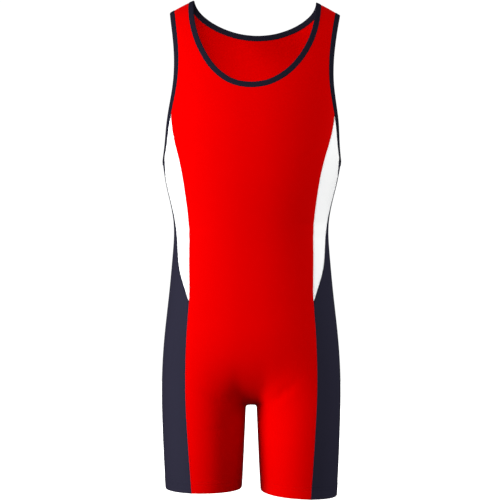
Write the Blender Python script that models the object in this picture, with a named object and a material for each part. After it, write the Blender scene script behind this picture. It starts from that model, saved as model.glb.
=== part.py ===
"""A wrestling singlet, filled out as if worn, with nobody in it.

Metres, +Z up, the front facing -Y. The origin lies midway between the two straps, where shoulders carry them.

The garment is cut from panels that lie on one general figure. A point of the figure has a share, from -1 at the
left side line through 0 at the centre line to 1 at the right side line, and a climb, the distance up from the level
of the armholes' lowest points. Shares past 1 go on round the side to the other sheet, and climbs past RIDGE_CLIMB go
on over the shoulder. Left and right are those of someone looking at the front.
"""

import math
from collections import namedtuple

import bpy
import numpy as np

# Levels below the shoulders.
ARMPIT = -0.278
ARMPIT_DIP, DIP_FADE = 0.014, 0.07
SPLIT_TOP = -0.590
CROTCH = -0.715
HEM_TOP = -0.840
HEM = -0.862

# The figure's rings, from just above the armholes' lowest points to the hems.
FigureRow = namedtuple("FigureRow", "height half_width front back")
FIGURE = (
    FigureRow(-0.250, 0.1585, 0.1115, 0.1035),
    FigureRow(-0.278, 0.1580, 0.1120, 0.1040),
    FigureRow(-0.306, 0.1545, 0.1118, 0.1035),
    FigureRow(-0.330, 0.1496, 0.1108, 0.1018),
    FigureRow(-0.370, 0.1398, 0.1072, 0.0955),
    FigureRow(-0.405, 0.1364, 0.1033, 0.0900),
    FigureRow(-0.445, 0.1388, 0.1005, 0.0900),
    FigureRow(-0.500, 0.1440, 0.0994, 0.0990),
    FigureRow(-0.550, 0.1497, 0.1000, 0.1120),
    FigureRow(-0.605, 0.1556, 0.1003, 0.1230),
    FigureRow(-0.655, 0.1587, 0.0990, 0.1250),
    FigureRow(-0.710, 0.1592, 0.0960, 0.1140),
    FigureRow(-0.770, 0.1574, 0.0910, 0.0990),
    FigureRow(-0.820, 0.1551, 0.0870, 0.0910),
    FigureRow(-0.862, 0.1525, 0.0840, 0.0860),
)
SQUARENESS = 2.25

# Half of the gap between the legs.
LegRow = namedtuple("LegRow", "height inner")
LEGS = (
    LegRow(-0.600, 0.0100),
    LegRow(-0.715, 0.0100),
    LegRow(-0.775, 0.0126),
    LegRow(-0.825, 0.0150),
    LegRow(-0.862, 0.0176),
)
LEG_SQUARENESS = 2.1
BRIDGE_SHARE = 0.08
CROTCH_FORWARD = 0.004
SPLIT_SPREAD = 0.40
SPLIT_DEPTH = 0.100

# The shoulders: a ridge that falls away from the neck, and the length of cloth from armpit level up to it.
RIDGE_CENTRE = 0.026
RIDGE_FALL = 2.054
RIDGE_CLIMB = 0.330
SHOULDER_HALF, SHOULDER_SWELL = 0.185, 1.5
SHOULDER_SEAM_CLIMB = 0.449

# How the filled-out form stands: shoulders turned, moved across and tipped, and one leg hanging lower outside.
STANCE_FROM, STANCE_OVER = -0.36, 0.30
SHOULDER_TURN = math.radians(-2.0)
SHOULDER_SWAY = 0.0068
SHOULDER_TIP = -0.020
NECK_PULL, NECK_PULL_HALF = 0.005, 0.115
RIGHT_LEG_DROP = 0.013
RIGHT_LEG_REACH = 0.155

# The necklines, where the body cloth ends and the binding begins.
NECK_HALF = 0.118
NECK_FRONT_DEPTH = 0.1594
NECK_BACK_DEPTH = 0.058
NECK_FRONT_ROUND, NECK_BACK_ROUND = 2.0, 1.75
NECK_CORNER_CLIMB = 0.129

# Distances of the seams from the centre line.
SeamRow = namedtuple("SeamRow", "height front back")
RED_SEAM = (
    SeamRow(-0.205, 0.1421, 0.1490),
    SeamRow(-0.230, 0.1397, 0.1490),
    SeamRow(-0.260, 0.1325, 0.1490),
    SeamRow(-0.278, 0.1272, 0.1470),
    SeamRow(-0.290, 0.1238, 0.1462),
    SeamRow(-0.330, 0.1166, 0.1415),
    SeamRow(-0.370, 0.1108, 0.1305),
    SeamRow(-0.410, 0.1077, 0.1255),
    SeamRow(-0.460, 0.1080, 0.1258),
    SeamRow(-0.520, 0.1075, 0.1242),
    SeamRow(-0.570, 0.1111, 0.1225),
    SeamRow(-0.620, 0.1137, 0.1205),
    SeamRow(-0.690, 0.1142, 0.1180),
    SeamRow(-0.750, 0.1112, 0.1140),
    SeamRow(-0.810, 0.1070, 0.1090),
    SeamRow(-0.862, 0.1031, 0.1045),
)
EdgeRow = namedtuple("EdgeRow", "height out")
NAVY_EDGE = (
    EdgeRow(-0.278, 0.1530),
    EdgeRow(-0.306, 0.1522),
    EdgeRow(-0.330, 0.1480),
    EdgeRow(-0.370, 0.1374),
    EdgeRow(-0.400, 0.1318),
    EdgeRow(-0.430, 0.1291),
    EdgeRow(-0.460, 0.1275),
    EdgeRow(-0.480, 0.1243),
    EdgeRow(-0.500, 0.1178),
    EdgeRow(-0.527, 0.1092),
)
ARMHOLE_FRONT = (
    EdgeRow(0.000, 0.1450),
    EdgeRow(-0.017, 0.1418),
    EdgeRow(-0.046, 0.1369),
    EdgeRow(-0.074, 0.1330),
    EdgeRow(-0.097, 0.1308),
    EdgeRow(-0.119, 0.1301),
    EdgeRow(-0.147, 0.1312),
    EdgeRow(-0.171, 0.1350),
    EdgeRow(-0.204, 0.1421),
    EdgeRow(-0.225, 0.1455),
    EdgeRow(-0.245, 0.1476),
    EdgeRow(-0.262, 0.1497),
    EdgeRow(-0.278, 0.1530),
)
ARMHOLE_BACK = (
    EdgeRow(0.000, 0.1450),
    EdgeRow(-0.017, 0.1412),
    EdgeRow(-0.050, 0.1335),
    EdgeRow(-0.090, 0.1272),
    EdgeRow(-0.130, 0.1250),
    EdgeRow(-0.170, 0.1270),
    EdgeRow(-0.210, 0.1325),
    EdgeRow(-0.245, 0.1390),
    EdgeRow(-0.262, 0.1425),
    EdgeRow(-0.278, 0.1470),
)
INSERT_FOOT = -0.527
INSERT_TIP_CLIMB = 0.060

# The cloth.
CLOTH = 0.0016
HEM_CLOTH = 0.0024
BINDING_WIDTH = 0.011
BINDING_CLOTH = 0.0028
GAP = 0.0003

# The grid that the panels share: heights of rows, climbs of rows above the armholes' lowest points, and columns.
LEG_ROWS = (HEM, HEM_TOP - 0.0005, HEM_TOP + 0.0005, -0.822, -0.800, -0.779, -0.759, -0.742, -0.727)
SPLIT_ROW_ANGLES = (90, 75, 60, 45, 30, 15)
TORSO_ROWS = (SPLIT_TOP, -0.570, -0.549, INSERT_FOOT, -0.514, -0.500, -0.480, -0.460, -0.440, -0.420, -0.400,
              -0.380, -0.355, -0.330, -0.310)
ARM_CLIMBS = (0.0, 0.008, 0.018, 0.031, 0.046, INSERT_TIP_CLIMB, 0.082, 0.105, NECK_CORNER_CLIMB)
STRAP_CLIMBS = (0.155, 0.181, 0.207, 0.233, 0.258, 0.280, 0.298, 0.314, RIDGE_CLIMB, 0.347, 0.365, 0.387, 0.410,
                0.430, SHOULDER_SEAM_CLIMB)
BACK_CLIMBS = (0.0, 0.008, 0.018, 0.031, 0.046, INSERT_TIP_CLIMB, 0.082, 0.107, 0.132, 0.157, 0.182,
               2 * RIDGE_CLIMB - SHOULDER_SEAM_CLIMB)
HALF_COLUMNS = 8
STRAP_COLUMNS = 3
BRIDGE_COLUMNS = 2
SIDE_COLUMNS = 8
INSERT_COLUMNS = 2

FRONT, BACK = -1, 1
LEFT, RIGHT = -1, 1

# How finely places and directions on the figure are worked out.
QUARTER_TURN = 0.5 * math.pi
HALVINGS = 40
SMALL = 1e-6
NORMAL_SHARE, NORMAL_CLIMB = 0.012, 0.003
RIM_ANGLE = math.radians(50)

Finish = namedtuple("Finish", "name colour roughness")
RED = Finish("red_cloth", (0.80, 0.01, 0.01, 1.0), 0.45)
NAVY = Finish("navy_cloth", (0.020, 0.020, 0.040, 1.0), 0.50)
WHITE = Finish("white_cloth", (0.85, 0.86, 0.86, 1.0), 0.50)


def eased(share):
    """A step from 0 to 1 that starts and ends level."""
    share = min(1.0, max(0.0, share))
    return share * share * (3 - 2 * share)


def curve_through(rows, column):
    """A function of height: the natural cubic spline through one column of a table."""
    knots = np.array([row.height for row in rows][::-1])
    values = np.array([getattr(row, column) for row in rows][::-1])
    spans = np.diff(knots)
    slopes = np.diff(values) / spans
    system = np.eye(len(knots))
    bends = np.zeros(len(knots))
    for i in range(1, len(knots) - 1):
        system[i, i - 1 : i + 2] = spans[i - 1], 2 * (spans[i - 1] + spans[i]), spans[i]
        bends[i] = 3 * (slopes[i] - slopes[i - 1])
    bends = np.linalg.solve(system, bends)

    def value(height):
        height = min(knots[-1], max(knots[0], height))
        i = min(int(np.searchsorted(knots, height, "right")) - 1, len(spans) - 1)
        past = height - knots[i]
        slope = slopes[i] - spans[i] * (2 * bends[i] + bends[i + 1]) / 3
        twist = (bends[i + 1] - bends[i]) / (3 * spans[i])
        return values[i] + past * (slope + past * (bends[i] + past * twist))

    return value


half_width = curve_through(FIGURE, "half_width")
depth = {FRONT: curve_through(FIGURE, "front"), BACK: curve_through(FIGURE, "back")}
leg_inner = curve_through(LEGS, "inner")
red_seam = {FRONT: curve_through(RED_SEAM, "front"), BACK: curve_through(RED_SEAM, "back")}
navy_edge = curve_through(NAVY_EDGE, "out")
armhole = {FRONT: curve_through(ARMHOLE_FRONT, "out"), BACK: curve_through(ARMHOLE_BACK, "out")}


def ridge_height(x):
    """Height of the top of the shoulders."""
    return RIDGE_CENTRE - RIDGE_FALL * x * x


def power(value, exponent):
    """value to a power, keeping its sign."""
    return math.copysign(abs(value) ** exponent, value)


def neck_drop(sheet, x):
    """Height of the neckline at a distance from the centre line."""
    fall, roundness = (
        (NECK_FRONT_DEPTH, NECK_FRONT_ROUND) if sheet == FRONT else (NECK_BACK_DEPTH, NECK_BACK_ROUND)
    )
    across = min(1.0, abs(x) / NECK_HALF)
    return ridge_height(NECK_HALF) - fall * (1 - across**roundness) ** (1 / roundness)


def neck_out(sheet, height):
    """Distance of the neckline from the centre line at a height."""
    fall, roundness = (
        (NECK_FRONT_DEPTH, NECK_FRONT_ROUND) if sheet == FRONT else (NECK_BACK_DEPTH, NECK_BACK_ROUND)
    )
    down = min(1.0, max(0.0, (ridge_height(NECK_HALF) - height) / fall))
    return NECK_HALF * (1 - down**roundness) ** (1 / roundness)


def shoulder_point(sheet, share, climb):
    """A point above armpit level, on an arch from the chest or the back up to the ridge."""
    turn = QUARTER_TURN * share
    across = power(math.sin(turn), 2 / SQUARENESS)
    out = abs(math.cos(turn)) ** (2 / SQUARENESS)
    lift = QUARTER_TURN * climb / RIDGE_CLIMB
    swell = (SHOULDER_HALF - half_width(ARMPIT)) * max(0.0, math.sin(lift)) ** SHOULDER_SWELL
    half = half_width(ARMPIT) + swell
    x = half * across
    y = sheet * depth[sheet](ARMPIT) * out * math.cos(lift)
    return np.array((x, y, ARMPIT + (ridge_height(x) - ARMPIT) * math.sin(lift)))


def leg_share(share, height):
    """How far a column has gone over from the torso's ring, 0, to its leg's own ring, 1."""
    away = eased((abs(share) - BRIDGE_SHARE) / SPLIT_SPREAD)
    foot = CROTCH - SPLIT_DEPTH * away
    down = min(1.0, max(0.0, (SPLIT_TOP - height) / (SPLIT_TOP - foot)))
    hooked = 1 - math.sqrt(1 - down * down)
    return (1 - away) * hooked + away * eased(down)


def body_point(sheet, share, height):
    """A point below armpit level, on the torso's ring, a leg's ring or between them."""
    turn = QUARTER_TURN * share
    half, deep = half_width(height), depth[sheet](height)
    x = half * power(math.sin(turn), 2 / SQUARENESS)
    y = sheet * deep * abs(math.cos(turn)) ** (2 / SQUARENESS)
    gone = leg_share(share, height)
    if gone > 0:
        inner = leg_inner(height)
        round_leg = math.pi * min(1.0, (1 - abs(share)) / (1 - BRIDGE_SHARE))
        reach = power(math.cos(round_leg), 2 / LEG_SQUARENESS)
        leg_x = math.copysign((half + inner) / 2 + (half - inner) / 2 * reach, share)
        if abs(share) < BRIDGE_SHARE:
            leg_x = inner * share / BRIDGE_SHARE
        leg_y = sheet * deep * abs(math.sin(round_leg)) ** (2 / LEG_SQUARENESS)
        leg_y += CROTCH_FORWARD * round_leg / math.pi
        x += gone * (leg_x - x)
        y += gone * (leg_y - y)
    return np.array((x, y, height))


def stood(point):
    """The point moved as the filled-out form stands."""
    x, y, z = point
    lean = eased((z - STANCE_FROM) / STANCE_OVER)
    turn = SHOULDER_TURN * lean
    drop = 0.0
    if y < 0:
        x -= NECK_PULL * lean * max(0.0, 1 - (x / NECK_PULL_HALF) ** 2) ** 2
    if x > 0 and z < CROTCH:
        drop = RIGHT_LEG_DROP * math.sqrt(x / RIGHT_LEG_REACH) * eased((CROTCH - z) / (CROTCH - HEM))
    return np.array(
        (
            x * math.cos(turn) - y * math.sin(turn) + SHOULDER_SWAY * lean,
            x * math.sin(turn) + y * math.cos(turn),
            z + SHOULDER_TIP * lean * x - drop,
        )
    )


def figure_point(sheet, share, climb):
    """The figure's surface before it is stood, round the sides, over the shoulders and between the legs."""
    if climb > RIDGE_CLIMB:
        sheet, climb = -sheet, 2 * RIDGE_CLIMB - climb
    if abs(share) > 1:
        sheet, share = -sheet, math.copysign(2, share) - share
    under, inside = CROTCH - ARMPIT - climb, BRIDGE_SHARE - abs(share)
    if under > 0 and inside > 0:
        if under < inside * half_width(CROTCH):
            sheet, climb = -sheet, climb + 2 * under
        else:
            sheet, share = -sheet, math.copysign(BRIDGE_SHARE + inside, share)
    if climb >= 0:
        return shoulder_point(sheet, share, climb)
    return body_point(sheet, share, ARMPIT + climb)


def figure_normal(sheet, share, climb):
    """The outward direction of the figure's surface."""
    left, right = share - NORMAL_SHARE, share + NORMAL_SHARE
    below, above = climb - NORMAL_CLIMB, climb + NORMAL_CLIMB
    along = stood(figure_point(sheet, right, climb)) - stood(figure_point(sheet, left, climb))
    up = stood(figure_point(sheet, share, above)) - stood(figure_point(sheet, share, below))
    normal = np.cross(along, up) * -sheet
    return normal / np.linalg.norm(normal)


def shared_normal(sheet, share, climb):
    """The outward direction, the mean of the two sheets' own at the ends of the crotch seam."""
    normal = figure_normal(sheet, share, climb)
    if abs(climb - (CROTCH - ARMPIT)) < SMALL and abs(share) < BRIDGE_SHARE + SMALL:
        normal += figure_normal(-sheet, share, climb)
    return normal / np.linalg.norm(normal)


def share_at(sheet, climb, edge):
    """The share at which a row meets an edge, given as its distance from the centre line at a height."""
    low, high = 0.0, 1.0
    for _ in range(HALVINGS):
        middle = (low + high) / 2
        x, _, z = figure_point(sheet, middle, climb)
        if x < edge(z):
            low = middle
        else:
            high = middle
    return (low + high) / 2


def climb_at_neck(sheet, share):
    """The climb at which a column meets the neckline."""
    low, high = 0.0, RIDGE_CLIMB
    for _ in range(HALVINGS):
        middle = (low + high) / 2
        x, _, z = figure_point(sheet, share, middle)
        if z < neck_drop(sheet, x):
            low = middle
        else:
            high = middle
    return (low + high) / 2


def sheet_over(sheet, climb):
    """The sheet that a climb is on, once it has gone over the ridge."""
    return -sheet if climb > RIDGE_CLIMB else sheet


def outer_share(sheet, climb):
    """The side edge of the front or back panel: its seam, and above that the armhole."""
    over = sheet_over(sheet, climb)
    tip = INSERT_TIP_CLIMB if sheet == FRONT else 0.0
    edge = red_seam[sheet] if climb < tip or climb < 0 else armhole[over]
    return share_at(sheet, climb, edge)


def neck_share(sheet, climb):
    """The neck edge of a strap."""
    over = sheet_over(sheet, climb)
    return share_at(sheet, climb, lambda height: neck_out(over, height))


def body_climbs():
    """Climbs of the rows from the hems up to just under the armholes, with the crotch's index."""
    heights = list(LEG_ROWS)
    crotch_row = len(heights)
    for angle in SPLIT_ROW_ANGLES:
        heights.append(SPLIT_TOP - (SPLIT_TOP - CROTCH) * math.sin(math.radians(angle)))
    heights += TORSO_ROWS
    return [height - ARMPIT for height in heights], crotch_row


class Sheet:
    """A panel's grid: points of the figure by row and column, and the faces between them."""

    def __init__(self, home):
        self.home = home
        self.places = {}
        self.cells = []

    def block(self, rows, columns):
        """Adds the faces between two rows and two columns, both included."""
        for i in range(rows[0], rows[1]):
            for j in range(columns[0], columns[1]):
                cell = [(i, j), (i, j + 1), (i + 1, j + 1), (i + 1, j)]
                self.cells.append(cell if self.home == FRONT else cell[::-1])

    def point(self, key):
        """The place of a grid point on the stood figure."""
        share, climb = self.places[key]
        return stood(figure_point(self.home, share, climb))

    def normal(self, key):
        """The outward direction at a grid point, which the front and the back share where they meet."""
        return shared_normal(self.home, *self.places[key])


def main_panel(sheet, arm_climbs, strap_climbs):
    """The front or the back: two legs, the torso, the chest or shoulders, and any straps over the ridge."""
    panel = Sheet(sheet)
    low_climbs, crotch_row = body_climbs()
    armpit_row = len(low_climbs)
    neck_row = armpit_row + len(arm_climbs) - 1
    last_row = neck_row + len(strap_climbs)
    columns = 2 * HALF_COLUMNS + BRIDGE_COLUMNS
    corner_climb = arm_climbs[-1]
    corner = (neck_share(sheet, corner_climb) - outer_share(sheet, corner_climb)) / (
        BRIDGE_SHARE - outer_share(sheet, corner_climb)
    )

    def share_of(column, outer, spread):
        """Share of a column in the left half, whose strap columns take a fraction, spread, of the way in."""
        if column <= STRAP_COLUMNS:
            way = spread * column / STRAP_COLUMNS
        else:
            way = spread + (1 - spread) * (column - STRAP_COLUMNS) / (HALF_COLUMNS - STRAP_COLUMNS)
        return outer + (BRIDGE_SHARE - outer) * way

    def put(row, column, share, climb):
        """Places a point and its mirror image."""
        panel.places[(row, column)] = (-share, climb)
        panel.places[(row, columns - column)] = (share, climb)

    even = STRAP_COLUMNS / HALF_COLUMNS
    for row, climb in enumerate(low_climbs + list(arm_climbs)):
        outer = outer_share(sheet, climb)
        risen = max(0.0, (row - armpit_row) / (neck_row - armpit_row))
        spread = even + (corner - even) * risen
        shares = [share_of(column, outer, spread) for column in range(HALF_COLUMNS + 1)]
        if row >= crotch_row:
            shares += [BRIDGE_SHARE * (1 - 2 * k / BRIDGE_COLUMNS) for k in range(1, BRIDGE_COLUMNS // 2 + 1)]
        for column, share in enumerate(shares):
            lowered = climb
            if row > armpit_row and column > STRAP_COLUMNS:
                top_outer = outer_share(sheet, corner_climb)
                top = share_of(column, top_outer, corner) if column <= HALF_COLUMNS else share
                lowered = climb * climb_at_neck(sheet, top) / corner_climb
            put(row, column, share, lowered)
    for row, climb in enumerate(strap_climbs, neck_row + 1):
        outer, inner = outer_share(sheet, climb), neck_share(sheet, climb)
        for column in range(STRAP_COLUMNS + 1):
            put(row, column, outer + (inner - outer) * column / STRAP_COLUMNS, climb)
    panel.block((0, crotch_row), (0, HALF_COLUMNS))
    panel.block((0, crotch_row), (HALF_COLUMNS + BRIDGE_COLUMNS, columns))
    panel.block((crotch_row, neck_row), (0, columns))
    if strap_climbs:
        panel.block((neck_row, last_row), (0, STRAP_COLUMNS))
        panel.block((neck_row, last_row), (columns - STRAP_COLUMNS, columns))
    panel.rows = {"crotch": crotch_row, "armpit": armpit_row, "neck": neck_row, "last": last_row}
    panel.columns = columns
    return panel


def insert_climbs():
    """Climbs of the rows that a side insert has, from its foot to its tip."""
    low_climbs, _ = body_climbs()
    foot = INSERT_FOOT - ARMPIT - GAP
    return [climb for climb in low_climbs if climb > foot] + [
        climb for climb in ARM_CLIMBS if climb <= INSERT_TIP_CLIMB
    ]


def insert_outer(climb):
    """The outer edge of a side insert: the navy panel, and above it the armhole."""
    return share_at(FRONT, climb, navy_edge if climb < 0 else armhole[FRONT])


def insert_panel(side):
    """The white blade between the red front and the navy side."""
    panel = Sheet(FRONT)
    climbs = insert_climbs()
    for row, climb in enumerate(climbs):
        inner, outer = outer_share(FRONT, climb), insert_outer(climb)
        if row == len(climbs) - 1:
            inner = outer_share(FRONT, climb - GAP)
            outer = max(outer, inner + 4 * GAP)
        for column in range(INSERT_COLUMNS + 1):
            share = inner + (outer - inner) * column / INSERT_COLUMNS
            panel.places[(row, column if side == RIGHT else INSERT_COLUMNS - column)] = (side * share, climb)
    panel.block((0, len(climbs) - 1), (0, INSERT_COLUMNS))
    return panel


def side_panel(side):
    """The navy side, from the hem up to the armhole, round the side line from front to back."""
    panel = Sheet(FRONT)
    low_climbs, _ = body_climbs()
    climbs = [*low_climbs, 0.0]
    for row, climb in enumerate(climbs):
        has_insert = climb > INSERT_FOOT - ARMPIT - GAP
        front = insert_outer(min(climb, -SMALL)) if has_insert else outer_share(FRONT, climb)
        back = 2 - outer_share(BACK, min(climb, -SMALL))
        near_top = eased(1 + climb / DIP_FADE)
        for column in range(SIDE_COLUMNS + 1):
            way = column / SIDE_COLUMNS
            share = front + (back - front) * way
            lowered = climb - ARMPIT_DIP * near_top * math.sqrt(1 - (2 * way - 1) ** 2)
            panel.places[(row, column if side == RIGHT else SIDE_COLUMNS - column)] = (side * share, lowered)
    panel.block((0, len(climbs) - 1), (0, SIDE_COLUMNS))
    panel.top_row = len(climbs) - 1
    return panel


def thickness_at(point):
    """The wall is thicker where a hem is turned up."""
    hem_top = HEM_TOP - (RIGHT_LEG_DROP * eased((CROTCH - HEM_TOP) / (CROTCH - HEM)) if point[0] > 0 else 0)
    return HEM_CLOTH if point[2] < hem_top else CLOTH


def cloth_material(finish):
    """The finish as a Blender material, made once."""
    material = bpy.data.materials.get(finish.name)
    if material is None:
        material = bpy.data.materials.new(finish.name)
        material.use_nodes = True
        shader = material.node_tree.nodes["Principled BSDF"]
        shader.inputs["Base Color"].default_value = finish.colour
        shader.inputs["Roughness"].default_value = finish.roughness
        shader.inputs["Metallic"].default_value = 0.0
    return material


def add_object(name, vertices, faces, finish):
    """Links a mesh object with its material, shaded smooth but for its sharp rims."""
    mesh = bpy.data.meshes.new(name)
    mesh.from_pydata([tuple(vertex) for vertex in vertices], [], faces)
    mesh.validate()
    mesh.materials.append(cloth_material(finish))
    mesh.shade_smooth()
    mesh.set_sharp_from_angle(angle=RIM_ANGLE)
    built = bpy.data.objects.new(name, mesh)
    bpy.context.scene.collection.objects.link(built)
    return built


def add_panel(name, panel, finish):
    """Makes a panel a closed wall, its rim drawn in by half the gap at a seam."""
    keys = sorted({key for cell in panel.cells for key in cell})
    index = {key: n for n, key in enumerate(keys)}
    cells = [[index[key] for key in cell] for cell in panel.cells]
    directed = {(a, b) for cell in cells for a, b in zip(cell, cell[1:] + cell[:1])}
    rim = {a: b for a, b in directed if (b, a) not in directed}
    before = {b: a for a, b in rim.items()}
    points = np.array([panel.point(key) for key in keys])
    normals = np.array([panel.normal(key) for key in keys])
    drawn_in = points.copy()
    for vertex in rim:
        inward = np.zeros(3)
        for start, end in ((before[vertex], vertex), (vertex, rim[vertex])):
            side = np.cross(normals[vertex], points[end] - points[start])
            inward += side / np.linalg.norm(side)
        drawn_in[vertex] += inward / np.linalg.norm(inward) * GAP / 2
    half = np.array([thickness_at(points[n]) / 2 for n in range(len(keys))])[:, None]
    count = len(keys)
    vertices = np.concatenate([drawn_in + normals * half, drawn_in - normals * half])
    faces = list(cells)
    faces += [[n + count for n in reversed(cell)] for cell in cells]
    faces += [[b, a, a + count, b + count] for a, b in rim.items()]
    return add_object(name, vertices, faces, finish)


# The binding's section: distance out from the seam, and height over the cloth's middle, as shares of its sizes.
SectionPoint = namedtuple("SectionPoint", "out over")
BINDING_SECTION = (
    SectionPoint(0.00, -0.40),
    SectionPoint(0.45, -0.50),
    SectionPoint(0.90, -0.42),
    SectionPoint(1.00, 0.00),
    SectionPoint(0.90, 0.42),
    SectionPoint(0.45, 0.50),
    SectionPoint(0.00, 0.40),
)


def add_binding(name, places):
    """A folded strip round an opening. places are (sheet, share, climb), going round once with the opening on
    the left of someone who walks along them on the outside."""
    points = np.array([stood(figure_point(*place)) for place in places])
    normals = np.array([figure_normal(*place) for place in places])
    ahead = np.roll(points, -1, axis=0) - points
    behind = points - np.roll(points, 1, axis=0)
    forward = ahead / np.linalg.norm(ahead, axis=1)[:, None] + behind / np.linalg.norm(behind, axis=1)[:, None]
    out = np.cross(normals, forward)
    out /= np.linalg.norm(out, axis=1)[:, None]
    size = len(BINDING_SECTION)
    vertices = []
    for point, normal, outward in zip(points, normals, out):
        for section in BINDING_SECTION:
            reach = GAP / 2 + section.out * BINDING_WIDTH
            vertices.append(point + outward * reach + normal * section.over * BINDING_CLOTH)
    faces = []
    for n in range(len(places)):
        here, there = n * size, (n + 1) % len(places) * size
        for k in range(size):
            following = (k + 1) % size
            faces.append([here + k, here + following, there + following, there + k])
    return add_object(name, vertices, faces, NAVY)


def edge_places(panel, keys):
    """Places of grid points, with the sheet that each is counted from."""
    return [(panel.home, *panel.places[key]) for key in keys]


def neck_path(front, back):
    """Once round the neckline, with the opening on the left."""
    neck, last = front.rows["neck"], front.rows["last"]
    wide, strap = front.columns, STRAP_COLUMNS
    keys = [(neck, column) for column in range(strap, wide - strap)]
    keys += [(row, wide - strap) for row in range(neck, last + 1)]
    path = edge_places(front, keys)
    path += edge_places(back, [(back.rows["neck"], column) for column in range(wide - strap - 1, strap, -1)])
    path += edge_places(front, [(row, strap) for row in range(last, neck, -1)])
    return path


def armhole_path(side, front, back, insert, navy):
    """Once round an armhole, with the opening on the left."""
    outer = 0 if side == LEFT else front.columns
    tip = front.rows["armpit"] + ARM_CLIMBS.index(INSERT_TIP_CLIMB)
    path = edge_places(front, [(row, outer) for row in range(tip, front.rows["last"])])
    path += edge_places(back, [(row, outer) for row in range(back.rows["neck"], back.rows["armpit"], -1)])
    columns = range(SIDE_COLUMNS, -1, -1) if side == RIGHT else range(SIDE_COLUMNS + 1)
    path += edge_places(navy, [(navy.top_row, column) for column in columns])
    climbs = insert_climbs()
    first = climbs.index(0.0)
    column = INSERT_COLUMNS if side == RIGHT else 0
    path += edge_places(insert, [(row, column) for row in range(first + 1, len(climbs) - 1)])
    return path if side == LEFT else path[::-1]


def build():
    """Builds every piece of the garment."""
    for old in list(bpy.data.objects):
        bpy.data.objects.remove(old)
    front = main_panel(FRONT, ARM_CLIMBS, STRAP_CLIMBS)
    back = main_panel(BACK, BACK_CLIMBS, ())
    add_panel("front_panel", front, RED)
    add_panel("back_panel", back, RED)
    add_binding("neck_binding", neck_path(front, back))
    for side, word in ((LEFT, "left"), (RIGHT, "right")):
        insert, navy = insert_panel(side), side_panel(side)
        add_panel(f"side_insert_{word}", insert, WHITE)
        add_panel(f"side_panel_{word}", navy, NAVY)
        add_binding(f"armhole_binding_{word}", armhole_path(side, front, back, insert, navy))


build()
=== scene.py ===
"""The looks of a wrestling singlet, filled out as if worn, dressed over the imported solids.

Metres, +Z up, the front facing -Y, left and right as seen from the front. Every panel of cloth is a thin
shell on the outer skin of its solid. It drops into its seams, creases softly, and is hemmed, bound and sewn.
"""

from __future__ import annotations

import logging
import math
from dataclasses import dataclass, field
from enum import Enum

import bmesh
import bpy
import numpy as np
from bmesh.types import BMesh, BMFace, BMVert
from mathutils import Matrix, Vector
from mathutils.bvhtree import BVHTree
from mathutils.kdtree import KDTree


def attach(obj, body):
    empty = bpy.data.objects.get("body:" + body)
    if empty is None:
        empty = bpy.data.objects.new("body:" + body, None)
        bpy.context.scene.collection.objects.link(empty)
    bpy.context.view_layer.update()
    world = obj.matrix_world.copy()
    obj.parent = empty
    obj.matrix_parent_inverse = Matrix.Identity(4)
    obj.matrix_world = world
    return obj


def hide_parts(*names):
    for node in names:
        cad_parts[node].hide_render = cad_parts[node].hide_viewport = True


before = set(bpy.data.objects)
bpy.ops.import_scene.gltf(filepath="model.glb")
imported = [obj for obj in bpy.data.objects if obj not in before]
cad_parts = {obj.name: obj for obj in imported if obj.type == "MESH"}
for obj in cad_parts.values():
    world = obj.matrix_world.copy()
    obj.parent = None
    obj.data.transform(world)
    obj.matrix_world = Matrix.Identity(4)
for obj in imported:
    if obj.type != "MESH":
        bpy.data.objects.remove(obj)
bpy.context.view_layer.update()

log = logging.getLogger("singlet")

BODY = "root"
MERGE = 1e-5
SKIN_ANGLE = math.radians(50)
PAIR_ANGLE = math.radians(60)
CORNER_ANGLE = math.radians(38)
SEAM_CORNER_ANGLE = math.radians(13)
POINTED_ANGLE = math.radians(135)
BORDER_REACH = 0.0016
SNAP_REACH = 0.0026
TAPE_SNAP_REACH = 0.0010
TIP_MERGE = 0.0003
LEVEL_FROM = 0.0045
CORNER_BAND = 2.2
LEG_LEVEL = -0.80
HEM_EDGE = -0.862
HEM_FALL = 0.013
HEM_FALL_REACH = 0.155
DRAWN_IN = 0.00022
DRAWN_WIDTH = 0.0010
SUBDIVISIONS = 2
WHOLE_TURN = 2 * math.pi
MM_PER_METRE = 1000
CM2_PER_M2 = 10000


class Side(Enum):
    """The two sides of the garment, as seen from the front."""

    LEFT = -1
    RIGHT = 1

    @property
    def word(self) -> str:
        """The side's name in the names of pieces."""
        return self.name.lower()


class Join(Enum):
    """What the border of a panel meets."""

    SEAM = "seam"
    BINDING = "binding"
    HEM = "hem"


SEAM_ROW = 0.0021
HEM_ROWS = (0.0145, 0.0200)
ROW_CLEARANCE = 0.85 * SEAM_ROW
ROW_OFFSETS = {Join.SEAM: (SEAM_ROW,), Join.HEM: HEM_ROWS}
TAPE_ROW = 0.0009
TAPE_HALF = 0.003
JOIN_HALF = 0.0009
JOIN_WAYS = (-0.85, -0.4, 0.0, 0.4, 0.85)
TAPE_JOINS = {
    "neck_binding": (Vector((-0.0600, 0.056, -0.0325)), Vector((-0.0590, 0.058, -0.0435))),
    "armhole_binding_left": (Vector((-0.1560, 0.012, -0.2780)), Vector((-0.1555, 0.012, -0.2885))),
    "armhole_binding_right": (Vector((0.1560, 0.012, -0.2780)), Vector((0.1555, 0.012, -0.2885))),
}


# Shader graphs.


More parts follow.
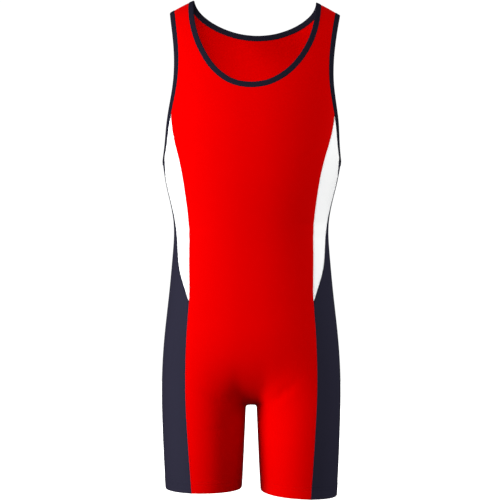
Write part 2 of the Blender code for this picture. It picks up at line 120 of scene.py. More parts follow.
@dataclass(frozen=True)
class Socket:
    """An output socket that adds Math nodes when it is used in an expression."""

    graph: ShaderGraph
    output: bpy.types.NodeSocket

    def maths(self, operation: str, *values: Socket | float) -> Socket:
        """Adds a Math node.

        Args:
            operation: The node's operation.
            values: Its inputs in order.

        Returns:
            The node's value.
        """
        return self.graph.add("ShaderNodeMath", {"operation": operation}, dict(enumerate(values)))

    def __add__(self, other: Socket | float) -> Socket:
        """The sum."""
        return self.maths("ADD", self, other)

    def __radd__(self, other: float) -> Socket:
        """The sum, from the right."""
        return self.maths("ADD", other, self)

    def __sub__(self, other: Socket | float) -> Socket:
        """The difference."""
        return self.maths("SUBTRACT", self, other)

    def __rsub__(self, other: float) -> Socket:
        """The difference, from the right."""
        return self.maths("SUBTRACT", other, self)

    def __mul__(self, other: Socket | float) -> Socket:
        """The product."""
        return self.maths("MULTIPLY", self, other)

    def __rmul__(self, other: float) -> Socket:
        """The product, from the right."""
        return self.maths("MULTIPLY", other, self)

    def sine(self) -> Socket:
        """The sine."""
        return self.maths("SINE", self)


class ShaderGraph:
    """The nodes of one material."""

    def __init__(self, name: str) -> None:
        """Starts a material whose only nodes are its surface and its output.

        Args:
            name: The material's name.
        """
        self.material = bpy.data.materials.new(name)
        self.material.use_nodes = True
        self.nodes = self.material.node_tree.nodes
        self.links = self.material.node_tree.links
        self.surface = self.nodes["Principled BSDF"]

    def set_input(self, node: bpy.types.Node, key: str | int, value: object) -> None:
        """Sets or links one input of a node.

        Args:
            node: The node.
            key: The input's name or number.
            value: A wrapped socket to link, or the value to set.
        """
        if isinstance(value, Socket):
            self.links.new(value.output, node.inputs[key])
        else:
            node.inputs[key].default_value = value

    def add(
        self, kind: str, settings: dict[str, object], inputs: dict[str | int, object], output: str | int = 0
    ) -> Socket:
        """Adds any node.

        Args:
            kind: The node's type.
            settings: Its settings, set first.
            inputs: Values or wrapped sockets for its inputs.
            output: The output to return.

        Returns:
            The chosen output.
        """
        node = self.nodes.new(kind)
        for key, value in settings.items():
            setattr(node, key, value)
        for key, value in inputs.items():
            self.set_input(node, key, value)
        return Socket(self, node.outputs[output])

    def mix(self, share: Socket | float, first: object, second: object) -> Socket:
        """Mixes two colours.

        Args:
            share: How much of the second colour shows.
            first: The first colour.
            second: The second colour.

        Returns:
            The mixed colour.
        """
        return self.add("ShaderNodeMix", {"data_type": "RGBA"}, {0: share, 6: first, 7: second}, 2)

    def noise(self, place: Socket, scale: float, detail: float = 2.0) -> Socket:
        """Smooth noise about 0.5.

        Args:
            place: The coordinates.
            scale: Its number of waves per metre.
            detail: Its number of octaves.

        Returns:
            The noise's value.
        """
        return self.add("ShaderNodeTexNoise", {}, {"Vector": place, "Scale": scale, "Detail": detail})

    def place(self) -> Socket:
        """The place on the piece, in metres."""
        return self.add("ShaderNodeTexCoord", {}, {}, "Object")

    def ray(self, kind: str) -> Socket:
        """1 for the rays of a kind, such as those of the camera, and 0 for the others."""
        return self.add("ShaderNodeLightPath", {}, {}, f"Is {kind} Ray")

    def finish(self, **inputs: object) -> bpy.types.Material:
        """Sets the surface's inputs, given with underscores for spaces.

        Args:
            inputs: Values or wrapped sockets.

        Returns:
            The finished material.
        """
        for key, value in inputs.items():
            self.set_input(self.surface, key.replace("_", " "), value)
        return self.material


Colour = tuple[float, float, float, float]
Place = tuple[float, float, float]


def grey(level: float) -> Colour:
    """A plain grey."""
    return (level, level, level, 1.0)


@dataclass(frozen=True)
class StretchKnit:
    """Smooth warp-knit stretch cloth, with fine ribs along the body and faint courses across them."""

    name: str
    colour: Colour
    deep_colour: Colour
    roughness: float = 0.42
    specular: float = 0.45
    specular_colour: Colour = grey(1.0)
    rib_pitch: float = 0.0011
    rib_share: float = 0.6
    course_pitch: float = 0.0016
    course_share: float = 0.4
    course_wave: float = 0.8
    knit_height: float = 0.00004
    slub_height: float = 0.00006
    cloud_waves: float = 26.0
    slub_waves: float = 420.0
    cloud_shade: float = 0.7
    slub_shade: float = 0.3
    knit_shade: float = 0.12
    colour_share: float = 0.22
    roughness_spread: float = 0.10
    bump_strength: float = 0.5

    def material(self) -> bpy.types.Material:
        """The finish as a material.

        Returns:
            The material.
        """
        graph = ShaderGraph(self.name)
        cloth = graph.add("ShaderNodeUVMap", {"uv_map": "cloth"}, {})
        parts = graph.nodes.new("ShaderNodeSeparateXYZ")
        graph.links.new(cloth.output, parts.inputs[0])
        across, up = (Socket(graph, output) for output in parts.outputs[:2])
        rib = (across * (WHOLE_TURN / self.rib_pitch)).sine()
        course = (up * (WHOLE_TURN / self.course_pitch) + rib * self.course_wave).sine()
        knit = rib * self.rib_share + course * self.course_share
        place = graph.place()
        clouds = graph.noise(place, self.cloud_waves)
        slubs = graph.noise(place, self.slub_waves, 1.0)
        shade = clouds * self.cloud_shade + slubs * self.slub_shade + knit * self.knit_shade
        uneven = (slubs - 0.5) * self.roughness_spread
        height = knit * self.knit_height + slubs * self.slub_height
        bump = {"Strength": self.bump_strength, "Distance": 1.0, "Height": height}
        return graph.finish(
            Base_Color=graph.mix(shade * self.colour_share, self.colour, self.deep_colour),
            Roughness=self.roughness + uneven + (clouds - 0.5) * self.roughness_spread,
            Normal=graph.add("ShaderNodeBump", {}, bump),
            Metallic=0.0,
            Specular_IOR_Level=self.specular,
            Specular_Tint=self.specular_colour,
        )


@dataclass(frozen=True)
class Thread:
    """Fine textured sewing thread, twisted along its length."""

    name: str
    colour: Colour
    deep_colour: Colour
    twist_waves: float = 3500.0
    twist_height: float = 0.0001
    roughness: float = 0.62
    specular: float = 0.15
    bump_strength: float = 0.4

    def material(self) -> bpy.types.Material:
        """The finish as a material.

        Returns:
            The material.
        """
        graph = ShaderGraph(self.name)
        fibres = graph.noise(graph.place(), self.twist_waves, 1.0)
        bump = {"Strength": self.bump_strength, "Distance": self.twist_height, "Height": fibres}
        return graph.finish(
            Base_Color=graph.mix(fibres, self.colour, self.deep_colour),
            Roughness=self.roughness,
            Normal=graph.add("ShaderNodeBump", {}, bump),
            Specular_IOR_Level=self.specular,
        )


RED_KNIT = StretchKnit(
    "red_knit",
    (0.54, 0.0, 0.0, 1.0),
    (0.43, 0.0, 0.0, 1.0),
    roughness=0.5,
    specular=0.1,
    specular_colour=(1.0, 0.0, 0.0, 1.0),
)
WHITE_KNIT = StretchKnit("white_knit", (0.96, 0.965, 0.965, 1.0), (0.92, 0.93, 0.935, 1.0), specular=0.2)
NAVY_KNIT = StretchKnit(
    "navy_knit",
    (0.0180, 0.0170, 0.0300, 1.0),
    (0.0125, 0.0118, 0.0215, 1.0),
    roughness=0.6,
    specular=0.02,
    specular_colour=(0.8, 0.8, 1.0, 1.0),
)
NAVY_TAPE = StretchKnit(
    "navy_tape",
    (0.0105, 0.0098, 0.0175, 1.0),
    (0.0075, 0.0072, 0.0130, 1.0),
    roughness=0.75,
    specular=0.01,
    specular_colour=(0.8, 0.8, 1.0, 1.0),
    rib_pitch=0.0014,
)
RED_THREAD = Thread("red_thread", (0.62, 0.0, 0.0, 1.0), (0.45, 0.0, 0.0, 1.0))
WHITE_THREAD = Thread("white_thread", (0.86, 0.87, 0.88, 1.0), (0.78, 0.79, 0.80, 1.0))
NAVY_THREAD = Thread("navy_thread", (0.018, 0.018, 0.034, 1.0), (0.010, 0.010, 0.022, 1.0))
THREADS = {"red": RED_THREAD, "white": WHITE_THREAD, "navy": NAVY_THREAD}


# Surfaces taken from the solids.


def new_object(name: str, mesh: bpy.types.Mesh) -> bpy.types.Object:
    """Links a mesh as a new object at the origin.

    Args:
        name: The object's name.
        mesh: Its mesh.

    Returns:
        The object.
    """
    made = bpy.data.objects.new(name, mesh)
    bpy.context.scene.collection.objects.link(made)
    return made


def select_only(chosen: bpy.types.Object) -> None:
    """Selects one object and makes it active."""
    bpy.ops.object.select_all(action="DESELECT")
    chosen.select_set(True)
    bpy.context.view_layer.objects.active = chosen


def apply_modifier(piece: bpy.types.Object, kind: str, **settings: object) -> None:
    """Adds a modifier with its settings and applies it.

    Args:
        piece: The object.
        kind: The modifier's type.
        settings: Its settings.
    """
    modifier = piece.modifiers.new(kind.lower(), kind)
    for key, value in settings.items():
        setattr(modifier, key, value)
    select_only(piece)
    bpy.ops.object.modifier_apply(modifier=modifier.name)


def dress(piece: bpy.types.Object, material: bpy.types.Material) -> None:
    """Shades a piece smooth and gives it its finish."""
    piece.data.shade_smooth()
    piece.data.materials.clear()
    piece.data.materials.append(material)


def start_unwrap(piece: bpy.types.Object) -> None:
    """Gives a piece an empty map of its cloth and opens all of it for editing."""
    piece.data.uv_layers.new(name="cloth")
    select_only(piece)
    bpy.ops.object.mode_set(mode="EDIT")
    bpy.ops.mesh.select_all(action="SELECT")


def lift_points(piece: bpy.types.Object, points: np.ndarray, outward: np.ndarray, lift: np.ndarray) -> None:
    """Moves the points of a mesh outward.

    Args:
        piece: The mesh's object.
        points: The mesh's points.
        outward: The outward direction at each.
        lift: The distance that each moves.
    """
    moved = points + outward * lift[:, None]
    piece.data.vertices.foreach_set("co", moved.astype(np.float32).ravel())
    piece.data.update()


def merged_copy(node: str) -> BMesh:
    """A copy of a solid's mesh with its loose triangles joined.

    Args:
        node: The solid's name.

    Returns:
        The copy.
    """
    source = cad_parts[node]
    copy = bmesh.new()
    copy.from_mesh(source.data)
    copy.transform(source.matrix_world)
    bmesh.ops.remove_doubles(copy, verts=copy.verts, dist=MERGE)
    copy.normal_update()
    return copy


def smooth_regions(copy: BMesh) -> list[list[BMFace]]:
    """The faces in groups that no sharp edge divides, the largest area first.

    Args:
        copy: The mesh.

    Returns:
        The groups.
    """
    left = set(copy.faces)
    regions = []
    while left:
        region, waiting = [], [left.pop()]
        while waiting:
            face = waiting.pop()
            region.append(face)
            for edge in face.edges:
                if len(edge.link_faces) != 2 or edge.calc_face_angle() > SKIN_ANGLE:
                    continue
                for other in edge.link_faces:
                    if other in left:
                        left.remove(other)
                        waiting.append(other)
        regions.append(region)
    return sorted(regions, key=lambda faces: -sum(face.calc_area() for face in faces))


def pair_triangles(copy: BMesh) -> None:
    """Joins the triangles into the four-sided faces of the pattern's grid."""
    bmesh.ops.join_triangles(
        copy,
        faces=copy.faces,
        angle_face_threshold=PAIR_ANGLE,
        angle_shape_threshold=math.pi,
        topology_influence=1.0,
    )


def outer_skin(node: str) -> BMesh:
    """The outer side of a cloth wall, as four-sided faces.

    Args:
        node: The solid's name.

    Returns:
        The skin as an open mesh.
    """
    copy = merged_copy(node)
    skin = set(smooth_regions(copy)[0])
    bmesh.ops.delete(copy, geom=[face for face in copy.faces if face not in skin], context="FACES")
    bmesh.ops.remove_doubles(copy, verts=copy.verts, dist=TIP_MERGE)
    pair_triangles(copy)
    return copy


def surface_tree(names: list[str]) -> BVHTree:
    """A search tree over the surfaces of several solids.

    Args:
        names: The solids' names.

    Returns:
        The tree.
    """
    points, faces = [], []
    for name in names:
        copy = merged_copy(name)
        first = len(points)
        copy.verts.index_update()
        points += [vertex.co.copy() for vertex in copy.verts]
        faces += [[first + vertex.index for vertex in face.verts] for face in copy.faces]
        copy.free()
    return BVHTree.FromPolygons(points, faces)


def tree_of(piece: bpy.types.Object) -> BVHTree:
    """A search tree over an object's mesh."""
    mesh = piece.data
    return BVHTree.FromPolygons(
        [vertex.co for vertex in mesh.vertices], [polygon.vertices for polygon in mesh.polygons]
    )


def nearest_on(surface: BVHTree, points: np.ndarray) -> tuple[np.ndarray, np.ndarray, np.ndarray]:
    """Brings points onto a surface.

    Args:
        surface: The surface.
        points: Points near it.

    Returns:
        The points on it, its outward direction at each, and how far each was moved.
    """
    places, normals, _, away = zip(*(surface.find_nearest(Vector(point)) for point in points))
    return np.array(places), np.array(normals), np.array(away)


def mesh_area(mesh: bpy.types.Mesh) -> float:
    """The area of all the faces of a mesh."""
    return sum(polygon.area for polygon in mesh.polygons)


def lengths_along(points: np.ndarray) -> np.ndarray:
    """The way along a line from its first point to each of its points."""
    return np.concatenate([[0.0], np.cumsum(np.linalg.norm(np.diff(points, axis=0), axis=1))])


def between(ways: np.ndarray | float, along: np.ndarray, rows: np.ndarray) -> np.ndarray:
    """Rows of a table at ways that lie between those of its own rows."""
    return np.stack([np.interp(ways, along, column) for column in rows.T], axis=-1)


def tightest_rectangle(flat: np.ndarray) -> tuple[float, float]:
    """The sides of the smallest rectangle of cloth that a cut fits on.

    Args:
        flat: The cut's points, in metres.

    Returns:
        The shorter side and the longer side.
    """
    best = (math.inf, 0.0, 0.0)
    for angle in np.radians(np.arange(90)):
        spin = np.array(((math.cos(angle), -math.sin(angle)), (math.sin(angle), math.cos(angle))))
        width, length = sorted(np.ptp(flat @ spin, axis=0))
        best = min(best, (width * length, width, length))
    return best[1], best[2]


# Creases.


@dataclass(frozen=True)
class Crease:
    """A soft fold in millimetres: a trough with a low ridge on each side, along places on the cloth."""

    places: tuple[Place, ...]
    depth: float
    width: float
    steps: int = 24
    end_share: float = 0.02
    fading: float = 0.8
    ridge: float = 1.3

    def line(self, skin: BVHTree) -> np.ndarray:
        """The line of the fold, laid on the cloth.

        Args:
            skin: The cloth's surface.

        Returns:
            Points along the line, in metres.
        """
        numbers = np.arange(len(self.places))
        ways = np.linspace(0, numbers[-1], self.steps)
        return nearest_on(skin, between(ways, numbers, np.array(self.places) / MM_PER_METRE))[0]

    def lift(self, points: np.ndarray, skin: BVHTree) -> np.ndarray:
        """How far the fold moves each point outward.

        Args:
            points: Places on the cloth.
            skin: The cloth's surface.

        Returns:
            The distances in metres, below 0 in the trough.
        """
        line = self.line(skin)
        away = np.linalg.norm(points[:, None, :] - line[None, :, :], axis=2)
        share = np.clip(away.argmin(axis=1) / (self.steps - 1), self.end_share, 1 - self.end_share)
        taper = np.sin(math.pi * share) ** self.fading
        reach = away.min(axis=1) / (self.width / MM_PER_METRE)
        depth = self.depth / MM_PER_METRE
        return -depth * taper * (1 - self.ridge * reach**2) * np.exp(-(reach**2))


CREASES = (
    Crease(((-16, -70, -712), (-52, -96, -700), (-98, -92, -678)), 1.2, 11.5),
    Crease(((16, -70, -714), (48, -96, -694), (86, -95, -662)), 1.0, 10.5),
    Crease(((-16, -60, -742), (-45, -86, -750), (-80, -94, -752)), 0.6, 8.5),
    Crease(((18, -58, -752), (48, -86, -764), (78, -92, -772)), 0.65, 9.0),
    Crease(((-134, -30, -398), (-112, -65, -404), (-78, -95, -402)), 0.7, 8.5),
    Crease(((-134, -30, -424), (-116, -60, -421), (-92, -85, -428)), 0.5, 7.0),
    Crease(((132, -30, -388), (108, -68, -396), (70, -98, -393)), 0.65, 9.0),
    Crease(((134, -30, -416), (118, -58, -418), (96, -82, -413)), 0.5, 6.5),
    Crease(((-138, -45, -236), (-115, -78, -252), (-78, -104, -276)), 0.6, 8.5),
    Crease(((140, -45, -240), (112, -80, -262), (82, -104, -292)), 0.6, 8.0),
    Crease(((-112, -60, -128), (-98, -78, -150), (-80, -90, -182)), 0.45, 8.0),
    Crease(((-95, 70, -398), (-30, 92, -408), (52, 88, -400)), 1.3, 12.0),
    Crease(((-60, 84, -432), (10, 92, -438), (85, 76, -428)), 1.15, 11.0),
    Crease(((-110, 55, -372), (-70, 80, -378), (-20, 94, -374)), 0.8, 9.5),
    Crease(((125, 40, -410), (95, 70, -417), (55, 88, -415)), 0.85, 9.0),
    Crease(((-20, 85, -706), (-62, 112, -716), (-118, 85, -706)), 1.1, 10.5),
    Crease(((22, 85, -712), (66, 112, -722), (112, 88, -716)), 1.0, 11.0),
    Crease(((-18, 62, -748), (-50, 96, -756), (-85, 100, -752)), 0.65, 8.5),
    Crease(((20, 62, -756), (46, 92, -768), (78, 100, -766)), 0.6, 8.0),
    Crease(((-128, 55, -245), (-100, 80, -262), (-62, 98, -285)), 0.7, 9.5),
    Crease(((130, 55, -250), (104, 78, -270), (70, 96, -300)), 0.65, 9.0),
)


# Sewing.


@dataclass
class StitchRows:
    """Rows of stitches in one thread, as one mesh of many small rounded stitches."""

    name: str
    thread: Thread
    carrier: str
    length: float = 0.0024
    pitch: float = 0.0032
    radius: float = 0.00024
    flattened: float = 1.15
    sunk: float = 0.00006
    runs: list[tuple[np.ndarray, np.ndarray]] = field(default_factory=list)

    def add_run(self, points: np.ndarray, normals: np.ndarray) -> None:
        """Adds a row.

        Args:
            points: Points along the row, on the cloth.
            normals: The cloth's outward direction at each.
        """
        if len(points) > 1:
            self.runs.append((points, normals))

    def add_parts(self, points: np.ndarray, normals: np.ndarray, clear: np.ndarray) -> None:
        """Adds the stretches of a row that are clear of corners.

        Args:
            points: Points along the row.
            normals: The cloth's outward direction at each.
            clear: Which points may carry stitches.
        """
        ends = np.flatnonzero(np.diff(np.concatenate([[0], clear.astype(int), [0]])))
        for start, end in zip(ends[::2], ends[1::2]):
            self.add_run(points[start:end], normals[start:end])

    def one_stitch(self) -> tuple[np.ndarray, list[list[int]]]:
        """Models one stitch lying along X.

        Returns:
            Its points and faces.
        """
        bpy.ops.object.select_all(action="DESELECT")
        bpy.ops.mesh.primitive_uv_sphere_add(segments=6, ring_count=4, radius=1.0)
        model = bpy.context.active_object
        turn = Matrix.Rotation(math.radians(90), 3, "Y")
        points = np.array([turn @ vertex.co for vertex in model.data.vertices])
        points *= (self.length / 2, self.radius * self.flattened, self.radius)
        faces = [list(polygon.vertices) for polygon in model.data.polygons]
        bpy.data.objects.remove(model)
        return points, faces

    def places(self) -> list[tuple[np.ndarray, np.ndarray, np.ndarray]]:
        """Where the stitches lie, spaced evenly along each row.

        Returns:
            The middle, the direction and the outward direction of each.
        """
        found = []
        for points, normals in self.runs:
            along = lengths_along(points)
            count = max(1, int(along[-1] / self.pitch))
            for n in range(count):
                middle = (n + 0.5) * along[-1] / count
                ends = middle + self.length * np.array((-0.5, 0.0, 0.5))
                start, centre, end = between(ends, along, points)
                forward = end - start
                if np.linalg.norm(forward) > self.length / 4:
                    found.append((centre, forward, between(middle, along, normals)))
        return found

    def build(self) -> None:
        """Copies the stitch to each of its places, as one piece."""
        model, model_faces = self.one_stitch()
        points, faces = [], []
        for centre, forward, normal in self.places():
            forward = forward / np.linalg.norm(forward)
            across = np.cross(normal, forward)
            across /= np.linalg.norm(across)
            over = np.cross(forward, across)
            first = len(points) * len(model)
            middle = centre + over * (self.radius - self.sunk)
            points.append(middle + model @ np.array((forward, across, over)))
            faces += [[first + index for index in face] for face in model_faces]
        mesh = bpy.data.meshes.new(self.name)
        mesh.from_pydata(np.concatenate(points).tolist(), [], faces)
        made = new_object(self.name, mesh)
        dress(made, self.thread.material())
        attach(made, BODY)
        log.info("%s: %d stitches in %d rows", self.name, len(points), len(self.runs))


# Panels.


@dataclass(frozen=True)
class BorderRun:
    """A stretch of a panel's border, with the cloth's outward direction and the way into the cloth."""

    join: Join
    points: np.ndarray
    normals: np.ndarray
    inward: np.ndarray


def unit_rows(rows: np.ndarray) -> np.ndarray:
    """Rows of a table as directions of length 1."""
    return rows / np.maximum(np.linalg.norm(rows, axis=1), MERGE**2)[:, None]


def densely(points: np.ndarray, step: float = 0.0007) -> np.ndarray:
    """Points along a line, closely spaced.

    Args:
        points: The line's corners.
        step: The spacing.

    Returns:
        The points.
    """
    along = lengths_along(points)
    return between(np.linspace(0, along[-1], max(2, int(along[-1] / step))), along, points)


def kd_tree(points: np.ndarray) -> KDTree:
    """A search tree over points."""
    tree = KDTree(len(points))
    for index, place in enumerate(points):
        tree.insert(place, index)
    tree.balance()
    return tree


def distances(points: np.ndarray, line: np.ndarray) -> np.ndarray:
    """How far each point is from the nearest point of a line.

    Args:
        points: The points.
        line: Closely spaced points on the line.

    Returns:
        The distances.
    """
    tree = kd_tree(line)
    return np.array([tree.find(place)[2] for place in points])


def level_outward(piece: bpy.types.Object, border: np.ndarray) -> tuple[np.ndarray, np.ndarray]:
    """The points of a panel and the way outward at each, taken clear of the border to keep seams closed.

    Args:
        piece: The subdivided panel.
        border: Closely spaced points on its border.

    Returns:
        The points, and at each the outward direction of the nearest cloth that is clear of the border.
    """
    points = np.array([vertex.co for vertex in piece.data.vertices])
    normals = np.array([vertex.normal for vertex in piece.data.vertices])
    level = distances(points, border) > LEVEL_FROM
    tree = kd_tree(points[level])
    return points, normals[level][[tree.find(place)[1] for place in points]]


def border_of(grid: BMesh) -> list[BMVert]:
    """The places on the border of an open mesh."""
    return [vertex for vertex in grid.verts if vertex.is_boundary]


def inner_partner(vertex: BMVert) -> BMVert:
    """The place next to one on the border, further into the cloth."""
    return next(edge.other_vert(vertex) for edge in vertex.link_edges if not edge.is_boundary)


class Neighbours:
    """The solids, searched for what lies next to a panel's border."""

    def __init__(self) -> None:
        """Makes a search tree for each solid."""
        self.trees = {node: surface_tree([node]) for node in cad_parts}
        self.whole = surface_tree(list(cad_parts))
        self.sewn: list[np.ndarray] = []

    def join_at(self, place: Vector, own: str, reach: float = 0.0008) -> Join:
        """What a panel's border meets at a place.

        Args:
            place: The place.
            own: The panel's own solid.
            reach: How far away a neighbour may be.

        Returns:
            The kind of join.
        """
        near = {
            node
            for node, tree in self.trees.items()
            if node != own and tree.find_nearest(place, reach)[0] is not None
        }
        if any("binding" in node for node in near):
            return Join.BINDING
        return Join.HEM if not near and place.z < LEG_LEVEL else Join.SEAM


@dataclass
class Panel:
    """One cut piece of cloth, as a thin shell on the outer skin of its solid."""

    node: str
    knit: StretchKnit
    slot: str
    cloth: float = 0.0010
    hem_cloth: float = 0.0018
    hem_height: float = 0.0215
    border: float = 0.0009
    sewn_band: float = 0.0027
    hem_strips: int = 5
    seam_drop: float = 0.00045
    closing: float = 0.00013
    tucked: float = 0.0019
    tucked_drop: float = 0.00035
    point_drop: float = 0.0009
    hem_round: float = 0.0005
    stretch: float = 1.15
    level_share: float = 0.5
    neighbours: Neighbours | None = field(default=None, init=False)
    piece: bpy.types.Object | None = field(default=None, init=False)
    skin: BVHTree | None = field(default=None, init=False)
    runs: list[BorderRun] = field(default_factory=list, init=False)
    border_points: np.ndarray | None = field(default=None, init=False)
    cut: tuple[float, float, float] = field(default=(0.0, 0.0, 0.0), init=False)

    def split_hem(self, grid: BMesh) -> None:
        """Divides the turned-up hem into narrow strips, so that its stitching can draw it in.

        Args:
            grid: The skin.
        """
        border = border_of(grid)
        free = {vertex for vertex in border if self.neighbours.join_at(vertex.co, self.node) is Join.HEM}
        rising = set()
        for edge in grid.edges:
            if not edge.is_boundary or not free.intersection(edge.verts):
                continue
            first, last = edge.verts
            if abs(first.co.z - last.co.z) > self.level_share * edge.calc_length():
                continue
            loop = edge.link_loops[0]
            rising |= {loop.link_loop_next.edge, loop.link_loop_prev.edge}
        bmesh.ops.subdivide_edges(grid, edges=list(rising), cuts=self.hem_strips, use_grid_fill=True)

    def inset(self, grid: BMesh, width: float) -> None:
        """Adds one strip round the border, kept short at the pointed corners.

        Args:
            grid: The skin.
            width: The strip's width.
        """
        bmesh.ops.inset_region(
            grid, faces=grid.faces, thickness=width, use_boundary=True, use_even_offset=True
        )
        for vertex in border_of(grid):
            partner = inner_partner(vertex)
            reach = partner.co - vertex.co
            if reach.length > CORNER_BAND * width:
                partner.co = vertex.co + reach * (CORNER_BAND * width / reach.length)

    def border_move(self, vertex: BMVert, partner: BMVert) -> tuple[Vector, bool]:
        """How one place of the border drops into a seam, tucks into a binding or rounds over at a hem.

        Args:
            vertex: The place.
            partner: The place next to it, further into the cloth.

        Returns:
            How far it moves, and whether it is a corner.
        """
        away = (vertex.co - partner.co).normalized()
        first, last = (edge.other_vert(vertex).co for edge in vertex.link_edges if edge.is_boundary)
        turn = (vertex.co - first).angle(last - vertex.co)
        join = self.neighbours.join_at(vertex.co, self.node)
        if join is Join.SEAM:
            return away * self.closing - partner.normal * self.seam_drop, turn > SEAM_CORNER_ANGLE
        corner = turn > CORNER_ANGLE
        if join is Join.HEM:
            return -partner.normal * self.hem_round, corner
        if turn >= POINTED_ANGLE:
            return away * self.closing - partner.normal * self.point_drop, corner
        seam_ends = [end for end in (first, last) if self.neighbours.join_at(end, self.node) is Join.SEAM]
        if seam_ends and corner:
            away = (vertex.co - seam_ends[0]).normalized() / math.sin(turn)
        return away * self.tucked - partner.normal * self.tucked_drop, corner

    def edge(self, grid: BMesh) -> None:
        """Adds a narrow border and joins it to what it meets.

        Args:
            grid: The skin.
        """
        for width in (self.sewn_band, self.border):
            if width > 0:
                self.inset(grid, width)
        grid.normal_update()
        sharp = grid.verts.layers.float.new("crease_vert")
        moves = []
        for vertex in border_of(grid):
            partner = inner_partner(vertex)
            move, corner = self.border_move(vertex, partner)
            moves.append((vertex, move))
            if corner:
                vertex[sharp] = 1.0
                partner[sharp] = 1.0
        for vertex, move in moves:
            vertex.co += move

    def unwrap(self) -> None:
        """Lays the panel flat as its cut, in metres, with the wales running up, and keeps the cut's size."""
        start_unwrap(self.piece)
        bpy.ops.uv.unwrap(method="ANGLE_BASED", margin=0.0)
        bpy.ops.object.mode_set(mode="OBJECT")
        mesh = self.piece.data
        flat = np.array([loop.uv for loop in mesh.uv_layers["cloth"].data])
        corners = np.array([mesh.vertices[loop.vertex_index].co for loop in mesh.loops])
        flat_area = 0.0
        for polygon in mesh.polygons:
            ring = flat[list(polygon.loop_indices)]
            beyond = np.roll(ring, -1, axis=0)
            flat_area += abs(np.sum(ring[:, 0] * beyond[:, 1] - ring[:, 1] * beyond[:, 0])) / 2
        real_area = mesh_area(mesh)
        flat *= math.sqrt(real_area / flat_area)
        centred = flat - flat.mean(axis=0)
        heights = corners[:, 2] - corners[:, 2].mean()
        slope = np.linalg.lstsq(centred, heights, rcond=None)[0]
        up = slope / np.linalg.norm(slope)
        turned = np.stack([flat @ np.array((up[1], -up[0])), flat @ up], axis=1)
        mesh.uv_layers["cloth"].data.foreach_set("uv", turned.astype(np.float32).ravel())
        width, length = tightest_rectangle(turned)
        self.cut = (width / self.stretch, length / self.stretch, real_area / self.stretch**2)

    def note_border(self) -> None:
        """Keeps the border in runs, each between two corners or changes of what it meets."""
        grid = bmesh.new()
        grid.from_mesh(self.piece.data)
        grid.normal_update()
        following = {}
        for edge in grid.edges:
            if edge.is_boundary:
                loop = edge.link_loops[0]
                following[loop.vert] = loop.link_loop_next.vert
        ring = [next(iter(following))]
        while following[ring[-1]] is not ring[0]:
            ring.append(following[ring[-1]])
        points = np.array([vertex.co for vertex in ring])
        normals = np.array([vertex.normal for vertex in ring])
        joins = [self.neighbours.join_at(vertex.co, self.node, BORDER_REACH) for vertex in ring]
        grid.free()
        ahead = unit_rows(np.roll(points, -1, axis=0) - points)
        behind = unit_rows(points - np.roll(points, 1, axis=0))
        turned = np.einsum("ij,ij->i", ahead, behind) < math.cos(CORNER_ANGLE)
        count = len(ring)
        breaks = [n for n in range(count) if turned[n] or joins[n] is not joins[n - 1]] or [0]
        for start, end in zip(breaks, breaks[1:] + [breaks[0] + count]):
            chosen = np.arange(start, end + 1) % count
            middle = chosen[len(chosen) // 2]
            inward = unit_rows(np.cross(normals[chosen], np.gradient(points[chosen], axis=0)))
            self.runs.append(BorderRun(joins[middle], points[chosen], normals[chosen], inward))
        self.border_points = np.concatenate([densely(points[[n, (n + 1) % count]]) for n in range(count)])

    def draw_in(self) -> None:
        """Draws the cloth in along its rows of stitches."""
        points, outward = level_outward(self.piece, self.border_points)
        lift = np.zeros(len(points))
        for join, offsets in ROW_OFFSETS.items():
            line = [densely(run.points) for run in self.runs if run.join is join]
            if not line:
                continue
            away = distances(points, np.concatenate(line))
            for offset in offsets:
                lift -= DRAWN_IN * np.exp(-(((away - offset) / DRAWN_WIDTH) ** 2))
        lift_points(self.piece, points, outward, lift)

    def sew(self, rows: StitchRows, join: Join, offset: float) -> None:
        """Adds rows of stitches at a distance from the border.

        Args:
            rows: The stitches that the rows join.
            join: The borders that they run along.
            offset: The distance.
        """
        for run in self.runs:
            if run.join is not join:
                continue
            places = nearest_on(self.skin, run.points + run.inward * offset)[0]
            even = run.points + unit_rows(places - run.points) * offset
            places, normals, _ = nearest_on(self.skin, even)
            clear = distances(places, self.border_points) > ROW_CLEARANCE
            rows.add_parts(places, normals, clear)

    def close_seams(self) -> None:
        """Brings the border to the borders of the panels that it is sewn to."""
        sewn = self.neighbours.sewn
        grid = bmesh.new()
        grid.from_mesh(self.piece.data)
        if sewn:
            tree = kd_tree(np.concatenate(sewn))
            for vertex in border_of(grid):
                place, _, away = tree.find(vertex.co)
                join = self.neighbours.join_at(vertex.co, self.node, BORDER_REACH)
                if away < (TAPE_SNAP_REACH if join is Join.BINDING else SNAP_REACH):
                    vertex.co = place
        grid.to_mesh(self.piece.data)
        edges = [edge for edge in grid.edges if edge.is_boundary]
        lines = [densely(np.array([vertex.co for vertex in edge.verts])) for edge in edges]
        sewn.append(np.concatenate(lines))
        grid.free()

    def crease(self) -> None:
        """Moves the cloth along the garment's folds."""
        points, outward = level_outward(self.piece, self.neighbours.sewn[-1])
        lift = sum(crease.lift(points, self.neighbours.whole) for crease in CREASES)
        lift_points(self.piece, points, outward, lift)

    def thicken(self) -> None:
        """Gives the cloth its thickness inward, double at the turned-up hem."""
        group = self.piece.vertex_groups.new(name="thickness")
        for vertex in self.piece.data.vertices:
            folded = vertex.co.z < hem_top(vertex.co.x, self.hem_height)
            group.add([vertex.index], 1.0 if folded else self.cloth / self.hem_cloth, "REPLACE")
        apply_modifier(
            self.piece,
            "SOLIDIFY",
            thickness=self.hem_cloth,
            offset=-1.0,
            use_even_offset=False,
            use_rim=True,
            vertex_group="thickness",
        )

